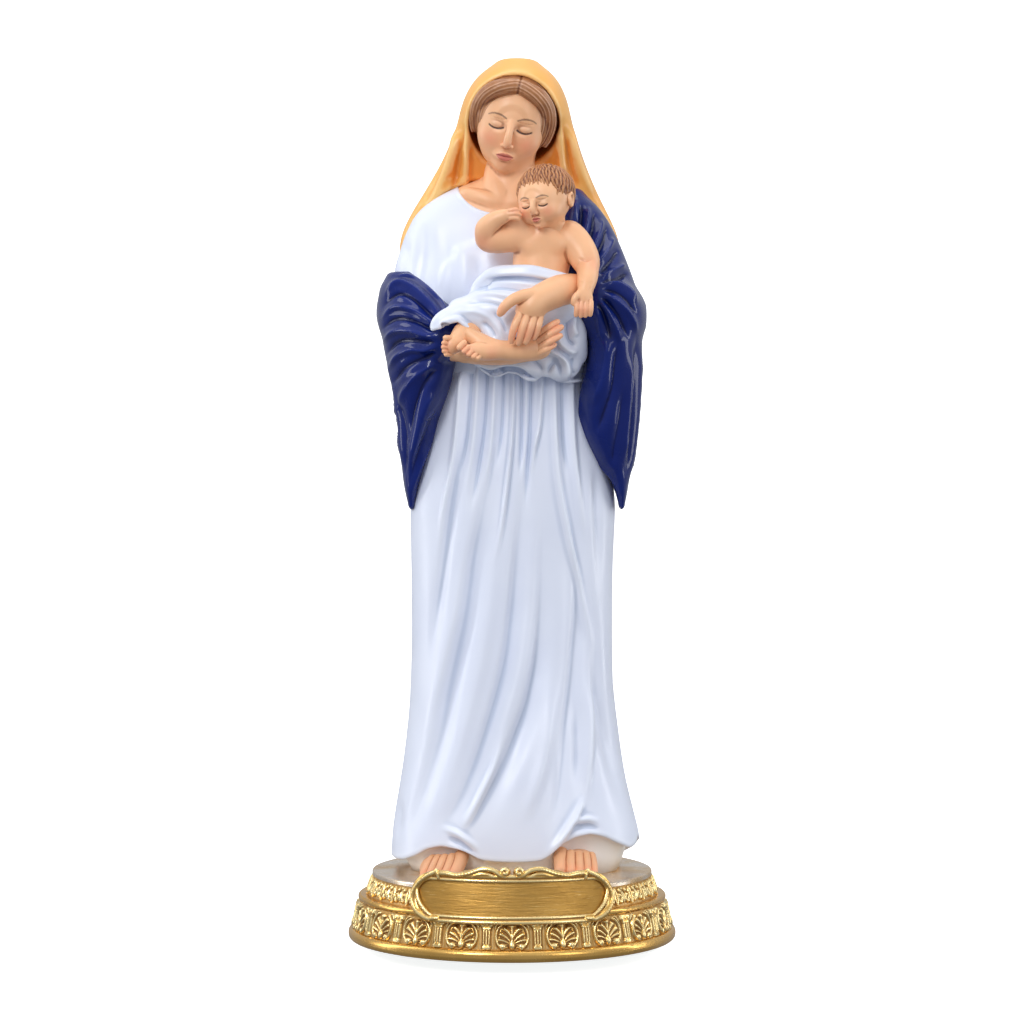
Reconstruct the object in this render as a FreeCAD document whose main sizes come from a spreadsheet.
"""Madonna and child devotional statue: painted castings on a round two-tier base.

Frame: millimetres, +Z up, the figure faces -Y, and the origin is the centre of the underside.
Left and right in the names are the mother's own, so her right side is at -X.
"""
import FreeCAD, Part
import Sketcher
import itertools
import math
import os

PARTS_FOLDER = "parts"
PALMETTE_COUNT = 20
LEAF_COUNT = 40
SHEET = "Dimensions"

# Plain dimensions of the base, the rod inside it and the name plate.
DIMENSIONS = {
    "rod_radius": 2.5,
    "rod_bottom": 3.0,
    "rod_top": 62.0,
    "rod_hole_radius": 2.55,
    "rod_hole_top": 63.0,
    "felt_radius": 51.0,
    "felt_thickness": 1.0,
    "felt_recess_radius": 51.2,
    "foot_radius": 56.0,
    "foot_underside": 0.4,
    "foot_top": 4.5,
    "foot_round": 1.7,
    "lower_band_bottom_radius": 54.0,
    "lower_band_top_radius": 52.0,
    "lower_band_top": 13.9,
    "bead_seat_radius": 49.4,
    "bead_radius": 52.6,
    "bead_top": 15.9,
    "bead_round": 0.9,
    "upper_band_top_radius": 47.2,
    "upper_band_top": 22.5,
    "slab_radius": 47.8,
    "slab_top": 24.0,
    "slab_round": 0.6,
    "palmette_ring_radius": 53.6,
    "palmette_height": 9.2,
    "palmette_half_width": 5.6,
    "palmette_half_depth": 1.7,
    "palmette_half_height": 4.4,
    "dart_half_width": 1.5,
    "leaf_ring_radius": 48.3,
    "leaf_height": 19.2,
    "leaf_half_width": 2.4,
    "leaf_half_depth": 1.1,
    "leaf_half_height": 2.9,
    "plate_back_radius": 46.0,
    "plate_bottom_radius": 53.9,
    "plate_top_radius": 51.2,
    "plate_bottom": 14.2,
    "plate_top": 28.8,
    "plate_half_length": 33.2,
    "frame_width": 2.3,
    "frame_proud": 1.4,
    "crest_radius": 1.9,
    "finger_radius": 1.45,
    "finger_tip_radius": 1.15,
    "thumb_radius": 1.6,
    "forearm_radius": 5.6,
    "wrist_radius": 4.3,
    "infant_shoulder_radius": 4.3,
    "infant_elbow_radius": 3.7,
    "infant_wrist_radius": 2.9,
    "infant_hip_radius": 5.4,
    "infant_knee_radius": 4.4,
    "infant_ankle_radius": 3.0,
    "neck_top_radius": 7.3,
    "neck_bottom_radius": 8.4,
}

# Centres and half sizes (across, front to back, up) of the rounded masses.
OVALS = {
    "skull": ((0.2, -6.0, 278.5), (12.9, 15.8, 17.6)),
    "upper_chest": ((-1.0, -5.0, 247.5), (17.0, 13.0, 11.5)),
    "hair_mass": ((0.8, -3.5, 280.5), (15.3, 17.0, 17.6)),
    "hair_clearance": ((-1.5, -22.0, 272.0), (13.2, 16.0, 14.0)),
    "right_foot_form": ((-23.3, -17.5, 26.0), (7.2, 13.0, 6.4)),
    "left_foot_form": ((21.4, -17.5, 26.5), (8.2, 13.0, 6.8)),
    "left_palm": ((5.5, -41.5, 214.5), (5.0, 3.6, 6.2)),
    "right_palm": ((4.0, -35.0, 203.0), (8.5, 5.0, 3.4)),
    "infant_skull": ((10.9, -31.5, 252.0), (9.7, 10.6, 11.3)),
    "infant_hair_mass": ((11.9, -30.4, 253.6), (10.3, 11.0, 11.2)),
    "infant_hair_clearance": ((4.4, -44.5, 247.0), (12.5, 11.5, 12.6)),
    "infant_chest": ((12.4, -27.5, 231.0), (12.6, 8.8, 11.5)),
    "infant_belly": ((10.5, -28.5, 220.0), (11.0, 9.2, 9.5)),
    "swaddle_hips": ((7.5, -30.0, 215.5), (16.5, 10.8, 10.0)),
    "swaddle_lap": ((-8.5, -30.5, 208.5), (15.5, 10.0, 9.0)),
    "swaddle_tip": ((-21.0, -31.0, 206.5), (6.0, 6.5, 4.6)),
    "hood_crown": ((0.4, -1.5, 279.5), (18.6, 19.5, 20.5)),
    "hood_opening": ((-0.6, -27.0, 268.0), (15.6, 21.0, 25.0)),
    "hood_clearance": ((0.8, -3.5, 280.3), (15.6, 17.3, 17.9)),
    "overfold_front": ((6.5, -18.0, 197.5), (20.5, 12.5, 9.0)),
}

# Key points of the limbs.
POINTS = {
    "left_elbow": (37.0, -6.0, 213.0),
    "left_wrist": (16.0, -38.5, 219.0),
    "right_elbow": (-37.0, -4.0, 208.0),
    "right_wrist": (-8.0, -31.0, 201.0),
    "left_thumb_root": (5.0, -43.2, 219.5),
    "left_thumb_tip": (-4.6, -43.6, 213.2),
    "left_index_root": (2.4, -43.5, 213.0),
    "left_index_tip": (-1.0, -42.6, 204.2),
    "left_middle_root": (4.6, -43.8, 211.4),
    "left_middle_tip": (1.2, -42.8, 203.4),
    "left_ring_root": (7.0, -43.5, 210.6),
    "left_ring_tip": (4.2, -42.6, 204.0),
    "left_little_root": (9.2, -42.8, 210.6),
    "left_little_tip": (7.2, -42.0, 205.6),
    "right_index_root": (8.5, -38.6, 204.4),
    "right_index_tip": (13.6, -39.2, 209.6),
    "right_middle_root": (9.4, -38.4, 202.2),
    "right_middle_tip": (15.4, -38.8, 208.4),
    "right_ring_root": (9.6, -37.2, 200.2),
    "right_ring_tip": (15.8, -37.6, 205.4),
    "infant_right_shoulder": (3.2, -30.0, 238.0),
    "infant_right_elbow": (-9.6, -31.5, 236.0),
    "infant_right_wrist": (0.6, -37.0, 244.6),
    "infant_left_shoulder": (22.0, -28.5, 237.0),
    "infant_left_elbow": (27.0, -33.0, 226.5),
    "infant_left_wrist": (23.4, -41.5, 217.8),
    "infant_left_fingers": (23.0, -42.6, 212.4),
    "infant_right_knee": (-13.0, -31.0, 207.5),
    "infant_right_ankle": (-17.0, -35.5, 203.6),
    "infant_right_toes": (-20.6, -37.0, 198.6),
    "infant_left_knee": (8.0, -31.0, 204.0),
    "infant_left_ankle": (-1.0, -36.5, 199.6),
    "infant_left_toes": (-12.4, -39.0, 199.4),
}

# Level sections of the garments from the bottom up: height, centre across,
# centre front to back, half width, half depth.
SECTIONS = {
    "skirt_form": [
        (24.0, 0.6, 3.0, 41.6, 31.0),
        (36.0, 0.8, 3.0, 41.2, 30.0),
        (54.0, 0.5, 3.0, 38.0, 27.5),
        (84.0, 0.0, 3.0, 34.8, 25.0),
        (125.0, 0.0, 2.5, 33.8, 23.0),
        (160.0, 0.5, 2.0, 31.5, 20.5),
        (191.0, 0.8, 1.5, 27.5, 18.5),
    ],
    "bodice_form": [
        (191.0, 0.8, 1.5, 27.5, 18.5),
        (212.0, -1.0, 1.5, 31.5, 18.0),
        (230.0, -1.5, 2.0, 36.5, 17.0),
        (241.0, -1.8, 2.5, 34.0, 15.0),
        (250.0, -1.4, 2.5, 23.5, 12.0),
        (257.0, -1.0, 2.0, 13.5, 9.5),
    ],
    "right_sleeve_form": [
        (147.0, -35.8, -5.0, 1.6, 4.2),
        (158.0, -35.0, -6.0, 4.4, 8.4),
        (176.0, -33.2, -7.5, 7.6, 12.6),
        (194.0, -32.4, -9.0, 11.8, 17.0),
        (207.0, -32.0, -9.5, 13.6, 18.6),
        (218.0, -35.0, -5.5, 11.0, 14.0),
        (228.0, -36.0, -1.0, 6.0, 8.0),
    ],
    "left_sleeve_form": [
        (147.0, 37.4, -5.0, 1.6, 4.2),
        (157.0, 35.2, -5.5, 5.4, 8.4),
        (172.0, 33.6, -7.0, 9.4, 13.0),
        (190.0, 34.4, -8.5, 10.4, 16.4),
        (207.0, 35.0, -9.0, 10.2, 18.2),
        (220.0, 32.0, -7.0, 11.0, 16.6),
        (233.0, 28.0, -1.0, 11.2, 12.6),
        (244.0, 23.6, 1.6, 9.2, 9.6),
        (252.0, 20.6, 2.4, 4.6, 6.4),
    ],
    "mantle_form": [
        (128.0, 0.5, 7.0, 33.0, 24.5),
        (160.0, 0.5, 7.0, 33.5, 22.5),
        (191.0, 0.5, 6.5, 33.5, 20.5),
        (215.0, 0.5, 6.0, 35.5, 18.6),
        (232.0, 0.5, 6.0, 36.5, 17.2),
        (246.0, 2.0, 6.0, 28.0, 12.6),
    ],
    "gown_clearance": [
        (126.0, 0.2, 2.5, 34.1, 23.4),
        (160.0, 0.5, 2.0, 31.9, 20.9),
        (191.0, 0.8, 1.5, 27.9, 18.9),
        (212.0, -1.0, 1.5, 31.9, 18.4),
        (230.0, -1.5, 2.0, 36.9, 17.4),
        (241.0, -1.8, 2.5, 34.4, 15.4),
        (250.0, -1.4, 2.5, 23.9, 12.4),
    ],
    "veil_clearance": [
        (186.0, 0.5, 6.5, 33.9, 20.9),
        (215.0, 0.5, 6.0, 35.9, 19.0),
        (232.0, 0.5, 6.0, 36.9, 17.6),
        (246.0, 1.0, 5.4, 29.5, 13.4),
        (258.0, 0.0, 2.0, 15.0, 11.0),
        (272.0, 0.0, -2.0, 9.5, 9.0),
    ],
    "veil_form": [
        (196.0, 0.5, 11.0, 30.0, 17.6),
        (216.0, 0.5, 10.0, 33.5, 17.8),
        (236.0, 0.5, 9.0, 36.0, 17.0),
        (250.0, 0.4, 6.0, 29.0, 16.4),
        (264.0, 0.4, 2.0, 21.6, 15.8),
        (278.0, 0.4, -1.0, 19.0, 17.4),
    ],
}

doc = FreeCAD.newDocument("madonna_statue")
sheet = doc.addObject("Spreadsheet::Sheet", SHEET)
rows = itertools.count(1)


def put(alias, number):
    """Writes one named number to the sheet."""
    row = next(rows)
    sheet.set(f"A{row}", alias)
    sheet.set(f"B{row}", str(number))
    sheet.setAlias(f"B{row}", alias)


def fill_sheet():
    """Every driving dimension, centre and key point gets its own named cell."""
    for alias, number in DIMENSIONS.items():
        put(alias, number)
    for name, (centre, half) in OVALS.items():
        for axis, number in zip("xyz", centre):
            put(f"{name}_{axis}", number)
        for side, number in zip(("across", "deep", "tall"), half):
            put(f"{name}_{side}", number)
    for name, point in POINTS.items():
        for axis, number in zip("xyz", point):
            put(f"{name}_{axis}", number)
    for name, levels in SECTIONS.items():
        for index, level in enumerate(levels):
            for field, number in zip(("height", "x", "y", "across", "deep"), level):
                put(f"{name}_{index}_{field}", number)
    doc.recompute()


def cell(alias):
    """How an expression names a cell."""
    return f"{SHEET}.{alias}"


def read(alias):
    """A cell's number."""
    return float(sheet.get(alias))


def point(name):
    """A key point as a vector."""
    return FreeCAD.Vector(*(read(f"{name}_{axis}") for axis in "xyz"))


def bind(thing, **expressions):
    """Binds properties of a document object to expressions; x, y and z set its place."""
    places = {"x": "Placement.Base.x", "y": "Placement.Base.y", "z": "Placement.Base.z"}
    for name, expression in expressions.items():
        thing.setExpression(places.get(name, name), str(expression))
    return thing


def add(kind, name, **expressions):
    """A new document object with bound properties."""
    return bind(doc.addObject(kind, name), **expressions)


# ---------------------------------------------------------------- shared forms

def oval(name, tilt=None):
    """A rounded mass at its centre, turned by tilt (yaw, pitch, roll in degrees)."""
    mass = add(
        "Part::Ellipsoid", name,
        Radius1=cell(f"{name}_tall"), Radius2=cell(f"{name}_across"), Radius3=cell(f"{name}_deep"),
    )
    if tilt:
        mass.Placement = FreeCAD.Placement(FreeCAD.Vector(), FreeCAD.Rotation(*tilt))
    return bind(mass, x=cell(f"{name}_x"), y=cell(f"{name}_y"), z=cell(f"{name}_z"))


def ball(name, at, radius):
    """A sphere at a key point."""
    return add(
        "Part::Sphere", name, Radius=radius, x=cell(f"{at}_x"), y=cell(f"{at}_y"), z=cell(f"{at}_z")
    )


def taper(name, start, end, start_radius, end_radius):
    """A cone from one key point to another."""
    span = "+".join(f"({cell(f'{end}_{a}')}-{cell(f'{start}_{a}')})^2" for a in "xyz")
    cone = add(
        "Part::Cone", name, Radius1=start_radius, Radius2=end_radius, Height=f"sqrt({span})"
    )
    turn = FreeCAD.Rotation(FreeCAD.Vector(0, 0, 1), point(end) - point(start))
    cone.Placement = FreeCAD.Placement(point(start), turn)
    return bind(cone, x=cell(f"{start}_x"), y=cell(f"{start}_y"), z=cell(f"{start}_z"))


def limb(name, joints):
    """Balls and tapers along (key point, radius cell) pairs."""
    pieces = [ball(f"{name}_{at}", at, cell(radius)) for at, radius in joints]
    for (start, first), (end, second) in zip(joints, joints[1:]):
        pieces.append(taper(f"{name}_{start}_to_{end}", start, end, cell(first), cell(second)))
    return pieces


def digit(name, radius="finger_radius"):
    """One finger, from its root to its tip."""
    return limb(name, [(f"{name}_root", radius), (f"{name}_tip", "finger_tip_radius")])


def fuse(name, pieces):
    """One solid from several."""
    joined = doc.addObject("Part::MultiFuse", name)
    joined.Shapes = pieces
    return joined


def cut(name, base, tools):
    """base with each tool taken away in turn."""
    for index, tool in enumerate(tools, start=1):
        last = index == len(tools)
        step = doc.addObject("Part::Cut", name if last else f"{name}_{index}")
        step.Base, step.Tool, step.Refine = base, tool, False
        base = step
    return base


def common(name, first, second):
    """What two solids share."""
    result = doc.addObject("Part::Common", name)
    result.Base, result.Tool = first, second
    return result


def loft(name):
    """A garment's outer form through its level sections."""
    rings = []
    for index, level in enumerate(SECTIONS[name]):
        wide = level[3] >= level[4]
        major, minor = ("across", "deep") if wide else ("deep", "across")
        ring = doc.addObject("Part::Ellipse", f"{name}_ring_{index}")
        if not wide:
            ring.Placement = FreeCAD.Placement(
                FreeCAD.Vector(), FreeCAD.Rotation(FreeCAD.Vector(0, 0, 1), 90)
            )
        stem = f"{name}_{index}"
        bind(
            ring, MajorRadius=cell(f"{stem}_{major}"), MinorRadius=cell(f"{stem}_{minor}"),
            x=cell(f"{stem}_x"), y=cell(f"{stem}_y"), z=cell(f"{stem}_height"),
        )
        rings.append(ring)
    body = doc.addObject("Part::Loft", name)
    body.Sections, body.Solid, body.Ruled = rings, True, False
    return body


def turned(name, corners, angle=360.0):
    """A body revolved about Z from a sketch whose corners are (radius, height) expressions."""
    body = doc.addObject("PartDesign::Body", name)
    sketch = body.newObject("Sketcher::SketchObject", f"{name}_profile")
    plane = next(f for f in body.Origin.OriginFeatures if f.Role == "XZ_Plane")
    sketch.AttachmentSupport, sketch.MapMode = (plane, ""), "FlatFace"
    doc.recompute()
    numbers = [tuple(sheet_number(e) for e in corner) for corner in corners]
    count = len(corners)
    for index in range(count):
        start, end = numbers[index], numbers[(index + 1) % count]
        sketch.addGeometry(
            Part.LineSegment(FreeCAD.Vector(*start, 0), FreeCAD.Vector(*end, 0)), False
        )
    constrain(sketch, corners, count)
    turn = body.newObject("PartDesign::Revolution", f"{name}_turn")
    turn.Profile = sketch
    turn.ReferenceAxis = (sketch, ["V_Axis"])
    turn.Angle = angle
    doc.recompute()
    return body


def sheet_number(expression):
    """The value of an expression that is one cell, or a sum or difference of cells and numbers."""
    total, sign = 0.0, 1.0
    for word in expression.replace("+", " + ").replace("-", " - ").split():
        if word in "+-":
            sign = 1.0 if word == "+" else -1.0
        else:
            total += sign * (float(word) if word[0].isdigit() else read(word.split(".")[1]))
    return total


def constrain(sketch, corners, count):
    """Joins the profile's lines end to end and binds each corner to its expressions."""
    for index in range(count):
        following = (index + 1) % count
        sketch.addConstraint(Sketcher.Constraint("Coincident", index, 2, following, 1))
    for index, (across, height) in enumerate(corners):
        for kind, expression in (("DistanceX", across), ("DistanceY", height)):
            place = sketch.addConstraint(
                Sketcher.Constraint(kind, -1, 1, index, 1, sheet_number(expression))
            )
            label = f"corner_{index}_{kind[-1].lower()}"
            sketch.renameConstraint(place, label)
            sketch.setExpression(f"Constraints.{label}", expression)


def rounded(body, radius_alias, at_radius, heights):
    """Rounds the circular edges of a turned body that lie at a radius and at given heights."""
    feature = body.Tip
    wanted = []
    for index, edge in enumerate(feature.Shape.Edges, start=1):
        curve = edge.Curve
        if not isinstance(curve, Part.Circle) or abs(curve.Radius - at_radius) > 1e-4:
            continue
        if any(abs(curve.Center.z - height) < 1e-4 for height in heights):
            wanted.append(f"Edge{index}")
    fillet = body.newObject("PartDesign::Fillet", f"{body.Name}_round")
    fillet.Base = (feature, wanted)
    fillet.setExpression("Radius", cell(radius_alias))
    doc.recompute()
    body.Tip = fillet
    return body


# ---------------------------------------------------------------- the base

def locating_rod():
    """The steel rod that ties the figure to the base."""
    return add(
        "Part::Cylinder", "locating_rod_form", Radius=cell("rod_radius"),
        Height=f"{cell('rod_top')}-{cell('rod_bottom')}", z=cell("rod_bottom"),
    )


def rod_hole():
    """The drilled hole that the rod is set in, up through the base and into the skirt."""
    return add(
        "Part::Cylinder", "rod_hole", Radius=cell("rod_hole_radius"), Height=cell("rod_hole_top")
    )


def felt_pad():
    """The felt disc under the base."""
    return add(
        "Part::Cylinder", "felt_pad_form", Radius=cell("felt_radius"), Height=cell("felt_thickness")
    )


def base_foot():
    """The plain bottom moulding, with a shallow recess for the felt and a blind rod hole."""
    hole, recess, rim = (cell(a) for a in ("rod_hole_radius", "felt_recess_radius", "foot_radius"))
    low, roof, high = (cell(a) for a in ("foot_underside", "felt_thickness", "foot_top"))
    body = turned("base_foot_form", [
        (hole, roof), (recess, roof), (recess, low), (rim, low), (rim, high), (hole, high),
    ])
    return rounded(body, "foot_round", read("foot_radius"), (read("foot_underside"), read("foot_top")))


def base_body():
    """The stepped casting that carries both ornament bands."""
    hole = cell("rod_hole_radius")
    return turned("base_body_form", [
        (hole, cell("foot_top")),
        (cell("lower_band_bottom_radius"), cell("foot_top")),
        (cell("lower_band_top_radius"), cell("lower_band_top")),
        (cell("bead_seat_radius"), cell("lower_band_top")),
        (cell("bead_seat_radius"), cell("bead_top")),
        (cell("upper_band_top_radius"), cell("upper_band_top")),
        (hole, cell("upper_band_top")),
    ])


def waist_bead():
    """The round moulding between the two bands."""
    seat, rim = cell("bead_seat_radius"), cell("bead_radius")
    low, high = cell("lower_band_top"), cell("bead_top")
    body = turned("waist_bead_form", [(seat, low), (rim, low), (rim, high), (seat, high)])
    return rounded(body, "bead_round", read("bead_radius"), (read("lower_band_top"), read("bead_top")))


def base_slab():
    """The top disc that the figure stands on."""
    hole, rim = cell("rod_hole_radius"), cell("slab_radius")
    low, high = cell("upper_band_top"), cell("slab_top")
    body = turned("base_slab_form", [(hole, low), (rim, low), (rim, high), (hole, high)])
    return rounded(body, "slab_round", read("slab_radius"), (read("slab_top"),))


def ring_of_pads(name, count, ring, height, sizes, skip_front_degrees=0.0, offset=0.0):
    """Small rounded relief pads spaced evenly round the base, as (across, deep, tall) cells."""
    pads = []
    for index in range(count):
        bearing = (index + offset) * 360.0 / count
        if min(bearing, 360.0 - bearing) < skip_front_degrees:
            continue
        turn = math.radians(bearing)
        pad = add(
            "Part::Ellipsoid", f"{name}_{index}", Radius1=cell(sizes[2]), Radius2=cell(sizes[0]),
            Radius3=cell(sizes[1]),
        )
        spot = FreeCAD.Vector(math.sin(turn), -math.cos(turn), 0) * read(ring)
        spot.z = read(height)
        pad.Placement = FreeCAD.Placement(spot, FreeCAD.Rotation(FreeCAD.Vector(0, 0, 1), bearing))
        pads.append(pad)
    return pads


def lower_ornament(backing):
    """Palmettes with darts between them, seated on the lower band."""
    ring, height = "palmette_ring_radius", "palmette_height"
    fans = ring_of_pads(
        "palmette", PALMETTE_COUNT, ring, height,
        ("palmette_half_width", "palmette_half_depth", "palmette_half_height"),
    )
    darts = ring_of_pads(
        "dart", PALMETTE_COUNT, ring, height,
        ("dart_half_width", "palmette_half_depth", "palmette_half_height"), offset=0.5,
    )
    return (
        cut("palmettes_seated", fuse("palmette_group", fans), [backing]),
        cut("darts_seated", fuse("dart_group", darts), [backing]),
    )


def upper_ornament(backing, plate_angle):
    """Small upright leaves on the upper band, left out behind the name plate."""
    leaves = ring_of_pads(
        "leaf", LEAF_COUNT, "leaf_ring_radius", "leaf_height",
        ("leaf_half_width", "leaf_half_depth", "leaf_half_height"), skip_front_degrees=plate_angle,
    )
    return cut("leaves_seated", fuse("leaf_group", leaves), [backing])


def stadium(name, inset):
    """A round-ended bar along Y, as wide and high as the plate less an inset all round."""
    tall = f"({cell('plate_top')}-{cell('plate_bottom')})/2-{inset}"
    middle = f"({cell('plate_top')}+{cell('plate_bottom')})/2"
    reach = f"{cell('plate_half_length')}-({cell('plate_top')}-{cell('plate_bottom')})/2"
    front = f"-{cell('foot_radius')}-1"
    depth = f"{cell('foot_radius')}/2"
    bar = add(
        "Part::Box", f"{name}_bar", Length=f"2*({reach})", Width=depth, Height=f"2*({tall})",
        x=f"-({reach})", y=front, z=f"{middle}-({tall})",
    )
    ends = []
    for side, sign in (("right", "-"), ("left", "")):
        end = add("Part::Cylinder", f"{name}_{side}_end", Radius=tall, Height=depth)
        end.Placement = FreeCAD.Placement(
            FreeCAD.Vector(), FreeCAD.Rotation(FreeCAD.Vector(1, 0, 0), -90)
        )
        ends.append(bind(end, x=f"{sign}({reach})", y=front, z=middle))
    return fuse(name, [bar] + ends)


def plate_shell(name, proud):
    """A tapering shell round the front of the base, standing proud of the plate face."""
    back = cell("plate_back_radius")
    low, high = cell("plate_bottom"), cell("plate_top")
    return turned(name, [
        (back, low),
        (f"{cell('plate_bottom_radius')}+{proud}", low),
        (f"{cell('plate_top_radius')}+{proud}", high),
        (back, high),
    ])


def name_plate(behind):
    """The blank panel and the scrolled frame that holds it."""
    face = common("panel_form", plate_shell("panel_shell", "0.0"), stadium("panel_outline",
                  cell("frame_width")))
    panel = cut("panel_seated", face, behind)
    surround = common("frame_block", plate_shell("frame_shell", cell("frame_proud")),
                      stadium("frame_outline", "0"))
    crest = []
    for side, sign in (("right", "-"), ("left", "")):
        scroll = add(
            "Part::Sphere", f"crest_{side}", Radius=cell("crest_radius"),
            x=f"{sign}{cell('crest_radius')}*0.9", y=f"-{cell('plate_top_radius')}+0.2",
            z=f"{cell('plate_top')}+0.9",
        )
        crest.append(scroll)
    frame = cut(
        "frame_seated", fuse("frame_form", [surround] + crest),
        behind + [stadium("frame_window", cell("frame_width"))],
    )
    return panel, frame


# ---------------------------------------------------------------- the mother

HEAD_TILT = (0.0, 12.0, 18.0)


def mother_head():
    """Head, neck and the bare upper chest, in one flesh-coloured casting."""
    neck = add("Part::Cone", "neck", Radius1=cell("neck_bottom_radius"),
               Radius2=cell("neck_top_radius"), Height=f"{cell('skull_z')}-{cell('upper_chest_z')}")
    neck.Placement = FreeCAD.Placement(FreeCAD.Vector(), FreeCAD.Rotation(0, 3, 4))
    bind(neck, x=cell("upper_chest_x"), y=cell("upper_chest_y"), z=cell("upper_chest_z"))
    return fuse("head_form", [oval("skull", HEAD_TILT), neck, oval("upper_chest")])


def mother_hair(head):
    """Parted hair that frames the face under the veil."""
    return cut("hair_form", oval("hair_mass", HEAD_TILT), [head, oval("hair_clearance", HEAD_TILT)])


def left_hand():
    """Her left forearm and hand, laid over the swaddling."""
    arm = limb("left_arm", [("left_elbow", "forearm_radius"), ("left_wrist", "wrist_radius")])
    reach = taper("left_back_of_hand", "left_wrist", "left_palm", cell("wrist_radius"),
                  cell("left_palm_across"))
    digits = [p for f in ("index", "middle", "ring", "little") for p in digit(f"left_{f}")]
    return fuse("left_hand_form", arm + [reach, oval("left_palm", (0, 25, 0))] + digits
                + digit("left_thumb", "thumb_radius"))


def right_hand():
    """Her right forearm and hand, palm up under the infant's legs."""
    arm = limb("right_arm", [("right_elbow", "forearm_radius"), ("right_wrist", "wrist_radius")])
    digits = [p for f in ("index", "middle", "ring") for p in digit(f"right_{f}")]
    return fuse("right_hand_form", arm + [oval("right_palm")] + digits)


def foot(side):
    """A bare foot whose toes show under the hem."""
    ground = add("Part::Cylinder", f"{side}_ground", Radius=cell("foot_radius"),
                 Height=cell("slab_top"))
    return cut(f"{side}_foot_cut", oval(f"{side}_foot_form"), [ground])


# ---------------------------------------------------------------- the infant

INFANT_HEAD_TILT = (-28.0, -6.0, 8.0)


def infant_parts():
    """Head, hair, trunk, arms and legs, each cut clear of the ones before it."""
    head = oval("infant_skull", INFANT_HEAD_TILT)
    hair = cut("infant_hair_form", oval("infant_hair_mass", INFANT_HEAD_TILT),
               [head, oval("infant_hair_clearance", INFANT_HEAD_TILT)])
    trunk = cut("infant_trunk_form", fuse("infant_trunk_mass", [
        oval("infant_chest"), oval("infant_belly")]), [head])
    right_arm = cut("infant_right_arm_form", fuse("infant_right_arm_mass", limb("infant_right_arm", [
        ("infant_right_shoulder", "infant_shoulder_radius"),
        ("infant_right_elbow", "infant_elbow_radius"),
        ("infant_right_wrist", "infant_wrist_radius"),
    ])), [head, trunk, hair])
    left_arm = cut("infant_left_arm_form", fuse("infant_left_arm_mass", limb("infant_left_arm", [
        ("infant_left_shoulder", "infant_shoulder_radius"),
        ("infant_left_elbow", "infant_elbow_radius"),
        ("infant_left_wrist", "infant_wrist_radius"),
        ("infant_left_fingers", "finger_radius"),
    ])), [trunk, head])
    right_leg = fuse("infant_right_leg_mass", limb("infant_right_leg", [
        ("infant_right_knee", "infant_knee_radius"),
        ("infant_right_ankle", "infant_ankle_radius"),
        ("infant_right_toes", "infant_wrist_radius"),
    ]))
    left_leg = cut("infant_left_leg_form", fuse("infant_left_leg_mass", limb("infant_left_leg", [
        ("infant_left_knee", "infant_knee_radius"),
        ("infant_left_ankle", "infant_ankle_radius"),
        ("infant_left_toes", "infant_wrist_radius"),
    ])), [right_leg])
    return {
        "infant_head": head, "infant_hair": hair, "infant_torso": trunk,
        "infant_right_arm": right_arm, "infant_left_arm": left_arm,
        "infant_right_leg": right_leg, "infant_left_leg": left_leg,
    }


def front_half(name, start_y):
    """A block that holds everything in front of a plane, for opening the cloaks."""
    block = add("Part::Box", name, Length=200, Width=200, Height=300)
    block.Placement = FreeCAD.Placement(FreeCAD.Vector(-100, start_y - 200, 60), FreeCAD.Rotation())
    return block


def keep(parts, label, shape_object):
    """Names the finished piece: its Label is the node's name."""
    shape_object.Label = label
    parts.append(shape_object)
    return shape_object


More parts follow.
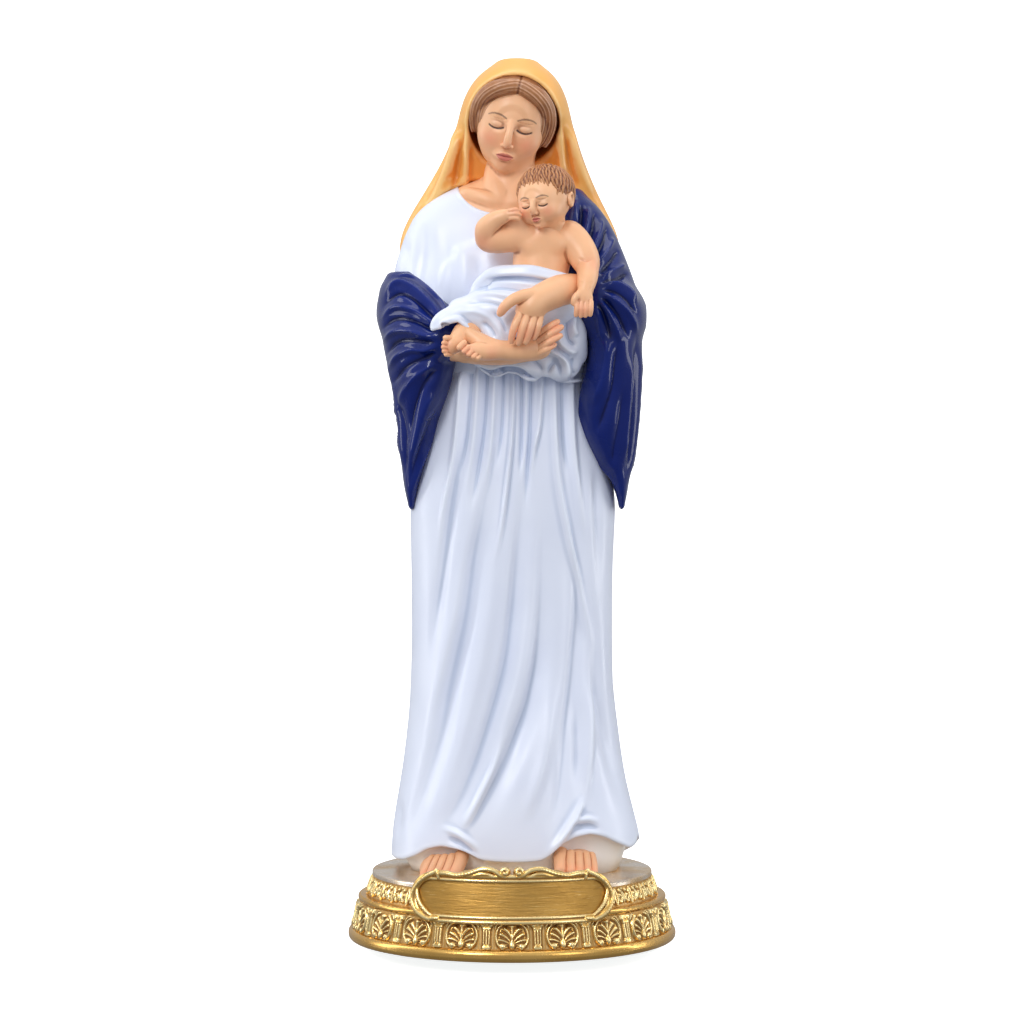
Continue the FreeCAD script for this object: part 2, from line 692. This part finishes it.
def build():
    """Builds every piece in fitting order, each garment cut clear of what it lies on."""
    parts = []
    hole = rod_hole()
    keep(parts, "locating_rod", locating_rod())
    keep(parts, "felt_pad", felt_pad())
    foot_moulding = keep(parts, "base_foot", base_foot())
    body = keep(parts, "base_body", base_body())
    bead = keep(parts, "waist_bead", waist_bead())
    slab = keep(parts, "base_slab", base_slab())
    palmettes, darts = lower_ornament(body)
    keep(parts, "lower_palmettes", palmettes)
    keep(parts, "lower_darts", darts)
    reach = math.degrees(math.asin(read("plate_half_length") / read("leaf_ring_radius")))
    keep(parts, "upper_leaves", upper_ornament(body, reach + 3.0))
    panel, frame = name_plate([body, bead, slab])
    keep(parts, "nameplate_panel", panel)
    keep(parts, "nameplate_frame", frame)

    head = keep(parts, "head", mother_head())
    hair = keep(parts, "hair", mother_hair(head))
    infant = infant_parts()
    for label, piece in infant.items():
        keep(parts, label, piece)
    infant_body = [infant[n] for n in infant if n not in ("infant_hair", "infant_head")]
    hand_left = cut("left_hand_cut", left_hand(), infant_body)
    keep(parts, "left_hand", hand_left)
    hand_right = cut("right_hand_cut", right_hand(), infant_body + [hand_left])
    keep(parts, "right_hand", hand_right)
    feet = [keep(parts, f"{side}_foot", foot(side)) for side in ("right", "left")]

    legs = [infant["infant_right_leg"], infant["infant_left_leg"]]
    swaddle = cut(
        "swaddle_cut",
        fuse("swaddle_mass", [oval("swaddle_hips"), oval("swaddle_lap"), oval("swaddle_tip")]),
        legs + [infant["infant_torso"], infant["infant_left_arm"], hand_left, hand_right],
    )
    keep(parts, "swaddling_cloth", swaddle)
    sleeve_right = cut("right_sleeve_cut", loft("right_sleeve_form"), [hand_right, swaddle, legs[0]])
    sleeve_left = cut("left_sleeve_cut", loft("left_sleeve_form"), [hand_left])
    keep(parts, "mantle_right_sleeve", sleeve_right)
    keep(parts, "mantle_left_sleeve", sleeve_left)
    overfold = cut("overfold_cut", oval("overfold_front"),
                   legs + [hand_right, swaddle, sleeve_left, sleeve_right])
    keep(parts, "waist_overfold", overfold)
    bodice = cut("bodice_cut", loft("bodice_form"), [head, sleeve_left, sleeve_right, overfold])
    keep(parts, "robe_bodice", bodice)
    skirt = cut("skirt_cut", loft("skirt_form"), feet + [hole, overfold, sleeve_left, sleeve_right])
    keep(parts, "robe_skirt", skirt)

    mantle_form = loft("mantle_form")
    mantle = cut("mantle_cut", mantle_form, [
        loft("gown_clearance"), sleeve_left, sleeve_right, front_half("mantle_front", 2.0)])
    keep(parts, "mantle_back", mantle)
    cape = cut("veil_cape", loft("veil_form"), [front_half("veil_front", -4.0)])
    hollow = oval("hood_clearance", HEAD_TILT)
    veil = cut("veil_cut", fuse("veil_mass", [cape, oval("hood_crown")]), [
        hollow, loft("veil_clearance"), sleeve_left, oval("hood_opening")])
    keep(parts, "veil", veil)
    return parts


def check_and_export(parts):
    """Stops if any object failed, then writes each piece's STEP file."""
    doc.recompute()
    for thing in doc.Objects:
        if "Invalid" in thing.State or "Error" in thing.State:
            raise RuntimeError(f"{thing.Name} failed: {thing.State}")
    os.makedirs(PARTS_FOLDER, exist_ok=True)
    for piece in parts:
        shape = piece.Shape
        if shape.isNull() or not shape.isValid() or shape.Volume <= 0:
            raise RuntimeError(f"{piece.Label} has no valid solid")
        shape.exportStep(f"{PARTS_FOLDER}/{piece.Label}.step")
        print(f"{piece.Label}: {len(shape.Solids)} solids, {shape.Volume / 1000:.2f} cm3")


fill_sheet()
check_and_export(build())
